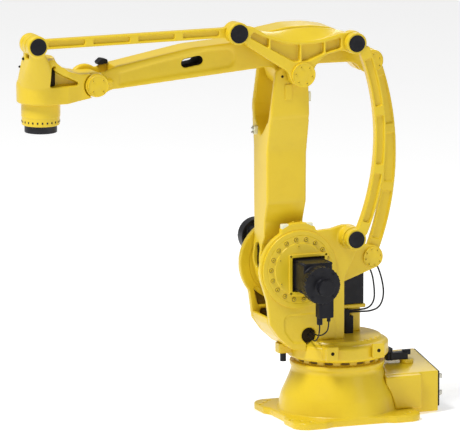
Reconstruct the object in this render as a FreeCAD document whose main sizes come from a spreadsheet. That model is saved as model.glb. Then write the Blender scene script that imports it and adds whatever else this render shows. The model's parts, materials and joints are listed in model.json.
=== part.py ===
"""Four-axis palletising robot arm with a level linkage.

Frame: origin on the floor at the axis of the turning column, +X the way the arm
points, +Y the side of the level linkage, +Z up. Millimetres.
"""
import FreeCAD, Part

import math
import os

from FreeCAD import Placement, Rotation, Vector

doc = FreeCAD.newDocument("RobotArm")

# ---------------------------------------------------------------- driving dimensions
SIZES = {
    # joint places
    "shoulder_x": 323.0,
    "shoulder_z": 970.0,
    "lower_length": 1227.0,
    "upper_length": 1313.0,
    "rod_pin_dx": 423.0,
    "rod_pin_dz": 280.0,
    "level_pin_dx": -334.0,
    "level_pin_dz": 182.0,
    "crank_dx": -516.0,
    "crank_dz": 29.0,
    "wrist_ahead": 323.0,
    # layers across the arm
    "frame_outer": 165.0,
    "frame_plate": 40.0,
    "crank_outer": 104.0,
    "crank_plate": 34.0,
    "drive_outer": 64.0,
    "drive_plate": 34.0,
    "hub_near": 24.0,
    "arm_half": 113.0,
    "fork_outer": 165.0,
    "fork_plate": 38.0,
    "beam_half": 100.0,
    "elbow_hub_half": 121.0,
    "plate_outer": 230.0,
    "plate_depth": 58.0,
    "level_outer": 285.0,
    "level_plate": 49.0,
    "rod_outer": 166.0,
    "rod_plate": 46.0,
    "pin_play": 0.05,
    "open_play": 1.0,
    "side_play": 6.0,
    # base
    "base_half_x": 425.0,
    "base_half_y": 400.0,
    "base_plate": 45.0,
    "base_bolt_x": 726.0,
    "base_bolt_y": 600.0,
    "base_hole": 13.5,
    "foot_radius": 370.0,
    "waist_radius": 287.0,
    "base_top": 353.0,
    "window_gap": 31.0,
    "box_rear": 606.0,
    "box_near": 185.0,
    "box_far": 215.0,
    "box_low_edge": 264.0,
    "box_high_edge": 333.0,
    "boss_top": 317.0,
    # swivel
    "table_radius": 319.0,
    "table_low": 384.0,
    "table_high": 510.0,
    # drives
    "disc_radius": 250.0,
    "disc_proud": 14.0,
    "motor_side": 190.0,
    "motor_dx": -54.0,
    "motor_dz": -30.0,
    "motor_end": 425.0,
    # links
    "drive_bulge": 104.0,
    "drive_width": 84.0,
    "level_bulge": 118.0,
    "level_width": 70.0,
    "rod_height": 58.0,
    "cable": 11.0,
    "thin_cable": 9.0,
    # round ends
    "eye_radius": 66.0,
    "pin_cap_radius": 52.5,
    "pin_radius": 30.0,
    "elbow_pin": 45.0,
    "elbow_cap": 76.0,
    "wrist_cap": 67.0,
    "wrist_pin": 35.0,
    # wrist
    "wrist_reach": 150.0,
    "wrist_bottom": 2097.0,
    "neck_radius": 120.0,
    "neck_bottom": 1958.0,
    "flange_radius": 100.0,
    "flange_bottom": 1912.0,
    "flange_pcd": 160.0,
    "flange_hole": 6.0,
}

sheet = doc.addObject("Spreadsheet::Sheet", "Sizes")
for row, (alias, size) in enumerate(SIZES.items(), start=1):
    sheet.set(f"A{row}", alias)
    sheet.set(f"B{row}", str(size))
    sheet.setAlias(f"B{row}", alias)
doc.recompute()


class Named:
    """The sheet's values, read by name."""

    def __getattr__(self, alias):
        return float(getattr(sheet, alias))


V = Named()

# joint places in the XZ plane
SHOULDER = (V.shoulder_x, V.shoulder_z)
ELBOW = (V.shoulder_x, V.shoulder_z + V.lower_length)
WRIST = (V.shoulder_x + V.upper_length, ELBOW[1])
ROD_REAR = (ELBOW[0] + V.rod_pin_dx, ELBOW[1] + V.rod_pin_dz)
ROD_FRONT = (WRIST[0] + V.rod_pin_dx, WRIST[1] + V.rod_pin_dz)
LEVEL_LOW = (SHOULDER[0] + V.level_pin_dx, SHOULDER[1] + V.level_pin_dz)
LEVEL_HIGH = (ELBOW[0] + V.level_pin_dx, ELBOW[1] + V.level_pin_dz)
CRANK_END = (SHOULDER[0] + V.crank_dx, SHOULDER[1] + V.crank_dz)
TAIL_END = (ELBOW[0] + V.crank_dx, ELBOW[1] + V.crank_dz)
FLANGE_X = WRIST[0] + V.wrist_ahead


MOTOR_COVER = (SHOULDER[0] + V.motor_dx, SHOULDER[1] + V.motor_dz - 32)
LEAD_HOLE = (SHOULDER[0] - 71, SHOULDER[1] - 424)
FAR_CHEEK = 100.0

# the leads' routes
THICK_LEAD = [
    (272, 378, 655), (272, 378, 600), (270, 325, 548), (262, 265, 530), (256, 200, 537), (252, 140, 546),
]
THIN_LEAD = [
    (212, 378, 672), (212, 378, 618), (226, 322, 578), (234, 262, 562), (236, 200, 563), (234, 140, 566),
]
INNER_LEAD = [
    (68, 12, 1012), (-45, 12, 1012), (-165, 12, 985), (-228, 12, 890), (-246, 12, 775),
    (-244, 12, 700), (-205, 12, 657), (-135, 12, 653), (-75, 12, 653),
]
OUTER_LEAD = [
    (68, -6, 1036), (-52, -6, 1036), (-180, -6, 1018), (-265, -6, 940), (-305, -6, 830),
    (-318, -6, 730), (-290, -6, 655), (-225, -6, 634), (-145, -6, 638), (-75, -6, 638),
]


# ---------------------------------------------------------------- outlines
def flat(x, y):
    return Vector(x, y, 0)


def about(spot, *corners):
    """Corners measured from a joint's place."""
    return [(spot[0] + corner[0], spot[1] + corner[1], *corner[2:]) for corner in corners]


def ring(x, y, radius):
    return [Part.Circle(flat(x, y), Vector(0, 0, 1), radius)]


def outline(*corners):
    """A closed outline of straight sides; a corner's third number rounds it."""
    count = len(corners)
    ends = []
    for i, corner in enumerate(corners):
        here = flat(corner[0], corner[1])
        radius = corner[2] if len(corner) > 2 else 0
        if not radius:
            ends.append((here, here, None))
            continue
        before = flat(*corners[i - 1][:2])
        after = flat(*corners[(i + 1) % count][:2])
        to_before = (before - here).normalize()
        to_after = (after - here).normalize()
        half = to_before.getAngle(to_after) / 2
        reach = radius / math.tan(half)
        middle = (to_before + to_after).normalize()
        centre = here + middle * (radius / math.sin(half))
        nearest = centre - middle * radius
        ends.append((here + to_before * reach, here + to_after * reach, nearest))
    edges = []
    for i, (start, end, nearest) in enumerate(ends):
        if nearest is not None:
            edges.append(Part.Arc(start, nearest, end))
        following = ends[(i + 1) % count][0]
        if (following - end).Length > 1e-6:
            edges.append(Part.LineSegment(end, following))
    return edges


def slot(start, end, radius):
    """A slot with round ends between two points."""
    a, b = flat(*start), flat(*end)
    along = (b - a).normalize()
    side = Vector(-along.y, along.x, 0) * radius
    return [
        Part.LineSegment(a + side, b + side),
        Part.Arc(b + side, b + along * radius, b - side),
        Part.LineSegment(b - side, a - side),
        Part.Arc(a - side, a - along * radius, a + side),
    ]


def taper(start, start_radius, end, end_radius):
    """The belt round two circles of different size."""
    a, b = flat(*start), flat(*end)
    along = (b - a).normalize()
    across = Vector(-along.y, along.x, 0)
    lean = math.asin((start_radius - end_radius) / (b - a).Length)
    up = across * math.cos(lean) + along * math.sin(lean)
    down = across * -math.cos(lean) + along * math.sin(lean)
    return [
        Part.LineSegment(a + up * start_radius, b + up * end_radius),
        Part.Arc(b + up * end_radius, b + along * end_radius, b + down * end_radius),
        Part.LineSegment(b + down * end_radius, a + down * start_radius),
        Part.Arc(a + down * start_radius, a - along * start_radius, a + up * start_radius),
    ]


def bow(start, end, bulge, width, first=0.0, last=1.0, radius=0.0):
    """Part of a curved bar of even width whose middle line bulges to the left of its run."""
    a, b = flat(*start), flat(*end)
    run = (b - a).Length
    along = (b - a).normalize()
    side = Vector(-along.y, along.x, 0)
    bend = (run * run / 4 + bulge * bulge) / (2 * bulge)
    centre = (a + b) * 0.5 + side * (bulge - bend)
    half_turn = math.asin(run / 2 / bend)

    def spot(share, offset):
        turn = half_turn * (2 * share - 1)
        direction = side * math.cos(turn) + along * math.sin(turn)
        return centre + direction * (bend + offset)

    half = width / 2
    middle = (first + last) / 2
    return [
        Part.Arc(spot(first, half), spot(middle, half), spot(last, half)),
        Part.LineSegment(spot(last, half), spot(last, -half)),
        Part.Arc(spot(last, -half), spot(middle, -half), spot(first, -half)),
        Part.LineSegment(spot(first, -half), spot(first, half)),
    ]


def arched(left, top, right, thickness):
    """A strip of even height whose upper edge is an arc through three points."""
    a, b, c = flat(*left), flat(*top), flat(*right)
    down = Vector(0, -thickness, 0)
    return [
        Part.Arc(a, b, c), Part.LineSegment(c, c + down),
        Part.Arc(c + down, b + down, a + down), Part.LineSegment(a + down, a),
    ]


def box(x0, y0, x1, y1, radius=0.0):
    return outline((x0, y0, radius), (x1, y0, radius), (x1, y1, radius), (x0, y1, radius))


# ---------------------------------------------------------------- bodies
class Piece:
    """A PartDesign body built from outlines on levels parallel to its origin planes.

    Pads and pockets run from their level along the plane's normal: +Z for XY,
    -Y for XZ and +X for YZ. Levels and depths are expressions on the sheet.
    """

    def __init__(self, label):
        self.label = label
        self.body = doc.addObject("PartDesign::Body", label)
        self.body.Label = label
        self.count = 0

    def sketch(self, plane, level, outlines):
        self.count += 1
        name = f"{self.label}_outline_{self.count}"
        sketch = self.body.newObject("Sketcher::SketchObject", name)
        role = f"{plane}_Plane"
        support = [f for f in self.body.Origin.OriginFeatures if f.Role == role][0]
        sketch.AttachmentSupport = [(support, "")]
        sketch.MapMode = "FlatFace"
        sign = "-" if plane == "XZ" else ""
        sketch.setExpression("AttachmentOffset.Base.z", f"{sign}({level}) * 1 mm")
        for edges in outlines:
            sketch.addGeometry(edges, False)
        return sketch

    def feature(self, kind, sketch):
        feature = self.body.newObject(f"PartDesign::{kind}", f"{self.label}_{kind}_{self.count}")
        feature.Profile = sketch
        sketch.Visibility = False
        return feature

    def pad(self, plane, level, depth, *outlines):
        feature = self.feature("Pad", self.sketch(plane, level, outlines))
        feature.setExpression("Length", f"({depth}) * 1 mm")
        doc.recompute([self.body])
        return self

    def pocket(self, plane, level, depth, *outlines):
        doc.recompute()
        before = self.body.Shape.Volume
        feature = self.feature("Pocket", self.sketch(plane, level, outlines))
        feature.Reversed = True
        feature.setExpression("Length", f"({depth}) * 1 mm")
        doc.recompute()
        if not self.body.Shape.Volume < before - 1:
            raise RuntimeError(f"{self.label}: pocket {self.count} cuts nothing")
        return self

    def loft(self, plane, *sections):
        """A loft through outlines, each given with the level that it lies on."""
        sketches = [self.sketch(plane, level, [edges]) for level, edges in sections]
        feature = self.feature("AdditiveLoft", sketches[0])
        feature.Sections = sketches[1:]
        doc.recompute()
        return self

    def turn(self, edges, kind="Revolution", x=0.0):
        """A revolved outline about the vertical line at x; the outline's x is a radius."""
        sketch = self.sketch("XZ", "0", [edges])
        sketch.AttachmentOffset = Placement(Vector(x, 0, 0), Rotation())
        feature = self.feature(kind, sketch)
        feature.ReferenceAxis = (sketch, ["V_Axis"])
        feature.Angle = 360
        doc.recompute()
        return self


class Lead:
    """A round cable along a route in space: straight runs joined by tangent arcs.

    Its path bends in more than one plane, which no sketch holds, so it is a plain feature.
    """

    def __init__(self, label, route, diameter):
        self.label = label
        points = [Vector(*point) for point in route]
        edges = []
        start = points[0]
        radii = []
        for before, here, after in zip(points, points[1:], points[2:]):
            to_before = (before - here).normalize()
            to_after = (after - here).normalize()
            half = to_before.getAngle(to_after) / 2
            reach = 0.45 * min((before - here).Length, (after - here).Length)
            radius = reach * math.tan(half)
            middle = (to_before + to_after).normalize()
            nearest = here + middle * (radius / math.sin(half) - radius)
            first, last = here + to_before * reach, here + to_after * reach
            edges += [Part.LineSegment(start, first), Part.Arc(first, nearest, last)]
            radii.append(round(radius))
            start = last
        edges.append(Part.LineSegment(start, points[-1]))
        path = Part.Wire([edge.toShape() for edge in edges])
        section = Part.Wire(Part.makeCircle(diameter / 2, points[0], points[1] - points[0]))
        self.body = doc.addObject("Part::Feature", label)
        self.body.Shape = path.makePipeShell([section], True, True)
        expected = math.pi * diameter * diameter / 4 * path.Length
        if abs(self.body.Shape.Volume - expected) > 0.01 * expected:
            raise RuntimeError(f"{label}: the tube's volume is off")
        print(label, "bend radii", radii)


# ---------------------------------------------------------------- base
def flare_outline(gap=0.0):
    """Half the section of the flared foot, grown by a gap."""
    low, high, waist = V.base_plate - 1, V.base_top, V.waist_radius
    foot = V.foot_radius + gap
    return outline(
        (0, low), (foot, low), (foot, low + 14, 8), (foot - 20, low + 100, 150),
        (waist + 20 + gap, high - 112, 200), (waist + gap, high - 60, 30), (waist + gap, high - 34, 4),
        (waist + 9 + gap, high - 27, 4), (waist + 9 + gap, high), (0, high),
    )


def base_casting():
    piece = Piece("base_casting")
    hx, hy = V.base_half_x, V.base_half_y
    corner, dip = 95, 26
    half_x, half_y = V.base_bolt_x / 2, V.base_bolt_y / 2
    plate = outline(
        (-hx, -hy, corner), (-half_x + 130, -hy, 30), (-half_x + 180, -hy + dip, 30),
        (half_x - 180, -hy + dip, 30), (half_x - 130, -hy, 30), (hx, -hy, corner),
        (hx, -half_y + 130, 30), (hx - dip, -half_y + 180, 30),
        (hx - dip, half_y - 180, 30), (hx, half_y - 130, 30), (hx, hy, corner),
        (half_x - 130, hy, 30), (half_x - 180, hy - dip, 30),
        (-half_x + 180, hy - dip, 30), (-half_x + 130, hy, 30), (-hx, hy, corner),
    )
    piece.pad("XY", "0", "Sizes.base_plate", plate)
    piece.turn(flare_outline())
    holes = []
    for sx in (-1, 1):
        for sy in (-1, 1):
            for step in (-1, 0, 1):
                x = sx * (half_x + 45 * step)
                y = sy * (half_y - 50 * step)
                holes.append(ring(x, y, V.base_hole))
    piece.pocket("XY", "-1", "Sizes.base_plate + 30", *holes)
    return piece


def base_ring():
    piece = Piece("base_ring")
    low, high = V.base_top, V.base_top + V.window_gap - 2
    piece.pad("XY", "Sizes.base_top", "Sizes.window_gap - 2", ring(0, 0, V.waist_radius - 18),
              ring(0, 0, V.waist_radius - 70))
    windows = []
    count = 16
    radius = V.waist_radius - 18
    for i in range(count):
        turn = 360 / count * (i + 0.5)
        cos, sin = math.cos(math.radians(turn)), math.sin(math.radians(turn))
        corners = []
        for along, across in ((-14, -30), (6, -30), (6, 30), (-14, 30)):
            r = radius + along
            corners.append((r * cos - across * sin, r * sin + across * cos))
        windows.append(outline(*corners))
    piece.pocket("XY", "Sizes.base_top + 5", "Sizes.window_gap - 12", *windows)
    return piece


def connector_box():
    """The rear box; its lid rises from the near side to the far one."""
    piece = Piece("connector_box")
    rear, near, far = V.box_rear, V.box_near, V.box_far
    seat = V.base_plate + 1
    behind = V.base_half_x + 2
    piece.pad("YZ", "-Sizes.box_rear", "Sizes.box_rear - 240",
              outline((-far, seat), (near, seat), (near, V.box_low_edge), (-far, V.box_high_edge)))
    piece.pad("YZ", "-Sizes.box_rear", f"Sizes.box_rear - {behind}",
              outline((-far, 8), (near, 8), (near, seat + 5), (-far, seat + 5)))
    piece.pad("YZ", "-Sizes.box_rear + 125", "Sizes.box_rear - 365",
              outline((near - 5, seat), (near + 34, seat), (near + 34, V.box_low_edge - 12, 8),
                      (near - 5, V.box_low_edge - 4)))
    piece.turn(flare_outline(1.0), "Groove")
    return piece


def connector_panel():
    piece = Piece("connector_panel")
    near, far = V.box_near - 4, V.box_far - 4
    piece.pad("YZ", "-Sizes.box_rear - 9", "9",
              outline((-far, 40), (near, 40), (near, V.box_low_edge - 4), (-far, V.box_high_edge - 4)))
    return piece


def panel_plugs():
    piece = Piece("panel_plugs")
    spots = []
    for y in (-130, -60, 10, 80):
        for z in (110, 205):
            spots.append(ring(y, z, 22))
    piece.pad("YZ", "-Sizes.box_rear - 34", "25", *spots)
    return piece


def stop_bracket():
    """The black stop on its boss: a body, an upright towards the column and a short arm."""
    piece = Piece("stop_bracket")
    piece.pad("XY", "Sizes.boss_top", "46", box(-470, -26, -326, 26, 8))
    piece.pad("XY", "Sizes.boss_top", "80", box(-362, -34, -348, 34))
    piece.pad("XY", "Sizes.boss_top + 26", "32", box(-492, -14, -440, 14, 4))
    return piece


def bracket_boss():
    piece = Piece("bracket_boss")
    piece.pad("XY", "Sizes.box_low_edge", "Sizes.boss_top - Sizes.box_low_edge", ring(-468, 0, 42))
    far, near = V.box_far, V.box_near
    piece.pocket("YZ", "-560", "200", outline((-far, 200), (near, 200), (near, V.box_low_edge),
                                              (-far, V.box_high_edge)))
    return piece


# ---------------------------------------------------------------- swivel
def turntable():
    piece = Piece("turntable")
    radius, low, high = V.table_radius, V.table_low, V.table_high
    piece.turn(outline(
        (0, low), (radius - 14, low), (radius, low + 14, 6), (radius, high - 38, 10),
        (radius - 16, high - 26, 4), (radius - 34, high - 22, 4), (radius - 50, high, 8), (0, high),
    ))
    return piece


# the sole of the column's toe, which overhangs the turntable's front
TOE = about(SHOULDER, (-60, -523), (44, -505, 60), (131, -426, 50), (190, -345, 50))


def frame_leg():
    """The side frame's leg under the shoulder."""
    return outline(*about(SHOULDER, (-303, -523)), *TOE, *about(
        SHOULDER, (210, -190, 200), (250, -60), (180, 120), (-180, 120), (-303, -60, 40),
    ))


def frame_ear():
    """The near frame's ear that reaches back to the level link's low pin."""
    return outline(*about(
        SHOULDER, (-303, -240), (-303, -80, 60), (-405, 130, 40), (-408, 256, 70), (-290, 256, 100),
        (-215, 237, 150), (-120, 233, 100), (-20, 257), (0, 0),
    ))


def near_frame():
    piece = Piece("near_frame")
    level, depth = "Sizes.frame_outer", "Sizes.frame_plate"
    through = "Sizes.plate_outer - Sizes.frame_outer + Sizes.frame_plate + 6"
    piece.pad("XZ", level, depth, ring(*SHOULDER, V.disc_radius + 8))
    piece.pad("XZ", level, depth, frame_leg())
    piece.pad("XZ", level, depth, frame_ear())
    # the lug over the disc
    piece.pad("XZ", f"{level} - 2", f"{depth} - 2", outline(*about(
        SHOULDER, (-120, 190), (-112, 258, 20), (-50, 291, 100), (55, 291, 100), (118, 258, 20),
        (124, 190))))
    piece.pad("XZ", "Sizes.plate_outer", "Sizes.plate_outer - Sizes.frame_outer + 4",
              ring(*LEVEL_LOW, V.eye_radius + 6))
    piece.pocket("XZ", "Sizes.plate_outer + 1", through, ring(*LEVEL_LOW, V.pin_radius + V.pin_play))
    piece.pocket("XZ", f"{level} + 1", f"{depth} + 5", ring(*SHOULDER, V.disc_radius - 40))
    # the recessed panel and the hole that the motor's leads pass through
    piece.pocket("XZ", f"{level} + 1", "7", outline(*about(
        SHOULDER, (-249, -282, 40), (100, -286, 40), (96, -390, 60), (40, -468, 60), (-249, -474, 40),
    )))
    piece.pocket("XZ", f"{level} + 1", f"{depth} + 5", ring(*LEAD_HOLE, 48))
    trim_foot(piece)
    return piece


def far_frame():
    piece = Piece("far_frame")
    level, depth = "Sizes.frame_plate - Sizes.frame_outer", "Sizes.frame_plate"
    piece.pad("XZ", level, depth, ring(*SHOULDER, V.disc_radius + 25))
    piece.pad("XZ", level, depth, frame_leg())
    piece.pocket("XZ", f"{level} + 1", f"{depth} + 5", ring(*SHOULDER, V.disc_radius - 40))
    upper = outline(*about(
        SHOULDER, (192, -122, 10), (155, -268, 14), (-120, -268, 14), (-120, -197, 12), (-78, -216),
        (0, -230), (80, -216), (149, -176),
    ))
    lower = outline(*about(
        SHOULDER, (150, -292, 14), (128, -348, 30), (68, -394, 30), (-120, -394, 20), (-120, -292, 20),
    ))
    piece.pocket("XZ", f"{level} + 1", f"{depth} + 5", upper, lower)
    trim_foot(piece)
    return piece


def trim_foot(piece):
    """Cuts a frame's foot away where the turntable stands."""
    piece.pocket("XY", "Sizes.table_low - 5", "Sizes.table_high - Sizes.table_low + 5",
                 ring(0, 0, V.table_radius))


def frame_web():
    """The curved pan under the shoulder that ties the two side frames together."""
    piece = Piece("frame_web")
    inner = "Sizes.frame_outer - Sizes.frame_plate"
    piece.pad("XZ", inner, f"2 * ({inner})", outline(*TOE, *about(
        SHOULDER, (196, -300, 8), (172, -300, 8), (158, -345, 40), (110, -400, 40), (40, -455, 40),
        (-60, -459),
    )))
    trim_foot(piece)
    return piece


def skirt_pads():
    """The square pads that stand out of the turntable's rim on its near side."""
    piece = Piece("skirt_pads")
    low, high = V.table_low + 22, V.table_high - 14
    for x in (-145, 163):
        piece.pad("XZ", "Sizes.table_radius + 8", "90", box(x - 40, low, x + 40, high, 6))
    piece.pocket("XY", "Sizes.table_low - 5", "Sizes.table_high", ring(0, 0, V.table_radius))
    return piece


def drive_disc(label, side):
    """A shoulder gearbox's bolted face disc; the near one is recessed for its motor."""
    piece = Piece(label)
    level = "Sizes.frame_outer + Sizes.disc_proud" if side > 0 else "-Sizes.frame_outer"
    piece.pad("XZ", level, "Sizes.disc_proud", ring(*SHOULDER, V.disc_radius - 6))
    body_level = "Sizes.frame_outer" if side > 0 else "-Sizes.frame_outer + Sizes.frame_plate - 2"
    piece.pad("XZ", body_level, "Sizes.frame_plate - 2", ring(*SHOULDER, V.disc_radius - 42))
    if side > 0:
        x, z = SHOULDER[0] + V.motor_dx, SHOULDER[1] + V.motor_dz
        half = V.motor_side / 2 + 14
        piece.pocket("XZ", f"{level} + 1", "31", box(x - half, z - half, x + half, z + half, 26))
    return piece


def near_motor():
    piece = Piece("near_motor")
    x, z = SHOULDER[0] + V.motor_dx, SHOULDER[1] + V.motor_dz
    half = V.motor_side / 2
    seat = "Sizes.frame_outer + Sizes.disc_proud - 30"
    piece.pad("XZ", "Sizes.motor_end - 80", f"Sizes.motor_end - 80 - ({seat})",
              box(x - half, z - half, x + half, z + half, 24))
    piece.pad("XZ", "Sizes.motor_end", "82", ring(*MOTOR_COVER, 115))
    piece.pad("XZ", "Sizes.motor_end + 55", "57", ring(MOTOR_COVER[0] - 7, MOTOR_COVER[1] - 8, 52))
    return piece


def near_motor_plug():
    """The plug block under the motor's round cover, with the two lead bushes."""
    piece = Piece("near_motor_plug")
    piece.pad("XZ", "Sizes.motor_end - 8", "66", box(195, 700, 290, 830, 8))
    piece.pocket("XZ", "Sizes.motor_end", "90", ring(*MOTOR_COVER, 115))
    for spot, low, radius in ((THICK_LEAD[0], THICK_LEAD[0][2], 18), (THIN_LEAD[0], THIN_LEAD[0][2], 12)):
        piece.pad("XY", f"{low}", f"701 - {low}", ring(spot[0], spot[1], radius))
    return piece


def far_motor():
    piece = Piece("far_motor")
    x, z = SHOULDER[0] + 62, SHOULDER[1] + 122
    piece.pad("XZ", "-Sizes.frame_outer - Sizes.disc_proud",
              "Sizes.motor_end - 75 - Sizes.frame_outer - Sizes.disc_proud",
              box(x - 75, z - 75, x + 75, z + 75, 20))
    piece.pad("XZ", "-Sizes.motor_end + 77", "77", ring(x, z, 112))
    return piece


def shoulder_shaft():
    piece = Piece("shoulder_shaft")
    inner = "Sizes.frame_outer - Sizes.frame_plate + 2"
    piece.pad("XZ", inner, f"2 * ({inner})", ring(*SHOULDER, 80))
    return piece


def column_motor():
    piece = Piece("column_motor")
    piece.pad("XY", "688", "215", box(-182, -140, -32, 0, 14))
    piece.pad("XY", "903", "45", ring(-107, -70, 62))
    return piece


def motor_stand():
    piece = Piece("motor_stand")
    piece.pad("XY", "Sizes.table_high", "155", box(-175, -125, -85, -25, 30))
    piece.pad("XY", "664", "24", box(-191, -149, -23, 9, 12))
    return piece


def lead_post():
    """The black connector post beside the stand that takes the column motor's leads."""
    piece = Piece("lead_post")
    piece.pad("XY", "Sizes.table_high", "108", box(-100, -18, -45, 26, 6))
    piece.pad("XY", "Sizes.table_high + 107", "44", box(-75, -18, -45, 26, 4))
    return piece


def lead_clamp():
    """The arm on the far frame that the column motor's leads leave from."""
    piece = Piece("lead_clamp")
    piece.pad("XY", "988", "50", box(68, -125, 96, 26, 6))
    return piece


def stop_pin():
    piece = Piece("stop_pin")
    piece.pad("XY", "364", "56", ring(362, 0, 19))
    return piece


def stop_pin_holder():
    piece = Piece("stop_pin_holder")
    piece.pad("XY", "420", "60", box(300, -42, 402, 42, 14))
    piece.pocket("XY", "400", "90", ring(0, 0, V.table_radius))
    piece.pocket("XZ", "100", "200", outline(*TOE, *about(SHOULDER, (190, -300), (-60, -300))))
    return piece


# ---------------------------------------------------------------- lower arm
def lower_arm():
    piece = Piece("lower_arm")
    x, z = SHOULDER
    top = ELBOW[1]
    bend = 1386.0
    side = outline(
        (x - 68, z + 200), (x - 72, top - 330, 900), (x - 64, top - 90, 200), (x - 82, top + 82, 76),
        (x + 60, top + 82, 90), (x + 152, top + 20, 60), (x + 184, top - 220, 400),
        (x + 193, top - 500, 500), (x + 192, bend, 500), (x + 188, z + 190, 150), (x + 204, z + 40, 120),
        (x + 150, z - 205, 180), (x - 150, z - 205, 180), (x - 205, z + 60, 180),
    )
    piece.pad("XZ", "Sizes.fork_outer", "2 * Sizes.fork_outer", side)
    inner = V.fork_outer - V.fork_plate
    slope = outline(
        (-inner, top + 140), (-inner, top - 220), (-inner + 15, top - 290, 60), (-60, top - 350, 60),
        (0, top - 404, 20), (60, top - 350, 60), (inner - 15, top - 290, 60), (inner, top - 220),
        (inner, top + 140))
    piece.pocket("YZ", "0", "700", slope)
    # below the fork both sides step in, the near one again beside the crank
    out, mid, low = V.fork_outer + 60, V.arm_half, z - 260
    far = outline((-out, top - 240), (-V.fork_outer, top - 240, 60), (-mid, top - 480, 200),
                  (-mid, low), (-out, low))
    near = outline((out, top - 240), (V.fork_outer, top - 240, 60), (mid, top - 480, 200),
                   (mid, bend, 60), (V.crank_outer - V.crank_plate - 8, bend - 125, 60), (52, bend - 230, 30),
                   (V.hub_near, bend - 270, 20), (V.hub_near, low), (out, low))
    piece.pocket("YZ", "0", "700", far, near)
    # the oval opening in the front of the hub
    piece.pocket("YZ", "Sizes.shoulder_x + 135", "100", box(-88, z - 24, -6, z + 144, 40))
    piece.pocket("XZ", "Sizes.fork_outer + 1", "2 * Sizes.fork_outer + 2",
                 ring(*ELBOW, V.elbow_pin + V.pin_play))
    piece.pocket("XZ", "Sizes.fork_outer + 1", "2 * Sizes.fork_outer + 2",
                 ring(*SHOULDER, 80 + V.pin_play))
    return piece


def elbow_shaft():
    piece = Piece("elbow_shaft")
    piece.pad("XZ", "Sizes.plate_outer - 1", "Sizes.plate_outer + Sizes.fork_outer",
              ring(*ELBOW, V.elbow_pin))
    piece.pad("XZ", "-Sizes.fork_outer", "14", ring(*ELBOW, V.elbow_cap))
    return piece


# ---------------------------------------------------------------- elbow plate
def elbow_plate():
    """The ribbed triangular plate, with its saddle-shaped shelf over the upper arm's side."""
    piece = Piece("elbow_plate")
    boss = V.eye_radius + 4
    level, depth = "Sizes.plate_outer", "Sizes.plate_depth"
    body = outline(*about(
        ELBOW, (-76, -70, 66), (70, -70, 66), (96, 22, 30), (372, 204, 40), (400, 320, 30), (330, 318, 30),
        (224, 254, 150), (127, 217, 150), (21, 202, 200), (-124, 214, 200), (-262, 244, 30),
        (-340, 240, 30), (-330, 122, 40), (-250, 136, 60), (-143, 112, 100), (-72, 40, 80),
    ))
    piece.pad("XZ", level, depth, body)
    piece.pad("XZ", level, depth, ring(*ROD_REAR, boss))
    piece.pad("XZ", level, depth, ring(*LEVEL_HIGH, boss))
    well = outline(*about(
        ELBOW, (-30, 84, 30), (60, 84, 30), (352, 252, 12), (318, 296, 12), (224, 238, 150),
        (127, 202, 150), (21, 187, 200), (-124, 199, 200), (-252, 226, 12), (-252, 150, 12),
        (-140, 126, 100),
    ))
    piece.pocket("XZ", f"{level} + 1", "37", well)
    ex, ez = ELBOW
    for x, low, high in ((219, 160, 246), (14, 60, 200), (-145, 118, 212)):
        piece.pad("XZ", level, "40", box(ex + x - 6, ez + low, ex + x + 6, ez + high))
    piece.loft("XZ",
               (level, arched(*about(ELBOW, (-296, 248), (30, 207), (372, 330)), 18)),
               ("Sizes.beam_half + Sizes.side_play",
                arched(*about(ELBOW, (-318, 234), (-60, 277), (190, 243)), 18)))
    through = f"{depth} + 2"
    piece.pocket("XZ", f"{level} + 1", through,
                 ring(*ELBOW, V.elbow_pin + V.pin_play), ring(*ROD_REAR, V.pin_radius + V.pin_play),
                 ring(*LEVEL_HIGH, V.pin_radius + V.pin_play))
    return piece


def elbow_cap():
    piece = Piece("elbow_cap")
    piece.pad("XZ", "Sizes.plate_outer + 16", "16", ring(*ELBOW, V.elbow_cap))
    return piece


def round_cap(label, spot, outer, radius, depth=6.0):
    """A pressed round cap on a pin's end; outer is the level of its seat."""
    piece = Piece(label)
    piece.pad("XZ", f"{outer} + {depth}", f"{depth}", ring(*spot, radius))
    return piece


def pin(label, spot, outer, length, radius="pin_radius"):
    piece = Piece(label)
    piece.pad("XZ", outer, length, ring(*spot, getattr(V, radius)))
    return piece


# ---------------------------------------------------------------- links
def bowed_link(label, start, end, outer, depth, bulge, width, eye, aside):
    """A bowed bar between two eyes; aside shifts the bow's two ends back from the pins."""
    piece = Piece(label)
    piece.pad("XZ", outer, depth, ring(*start, eye))
    piece.pad("XZ", outer, depth, ring(*end, eye))
    low = (start[0] - aside[0], start[1] + 40)
    high = (end[0] - aside[1], end[1] - 34)
    piece.pad("XZ", outer, depth, bow(low, high, bulge, width))
    pockets, first, last, gap = 3, 0.06, 0.94, 0.05
    span = (last - first + gap) / pockets
    wells = []
    for i in range(pockets):
        begin = first + i * span
        wells.append(bow(low, high, bulge, width - 26, begin, begin + span - gap))
    piece.pocket("XZ", outer, f"({depth}) / 3", *wells)
    piece.pocket("XZ", f"{outer} + 1", f"{depth} + 2",
                 ring(*start, V.pin_radius + V.pin_play), ring(*end, V.pin_radius + V.open_play))
    return piece


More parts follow.
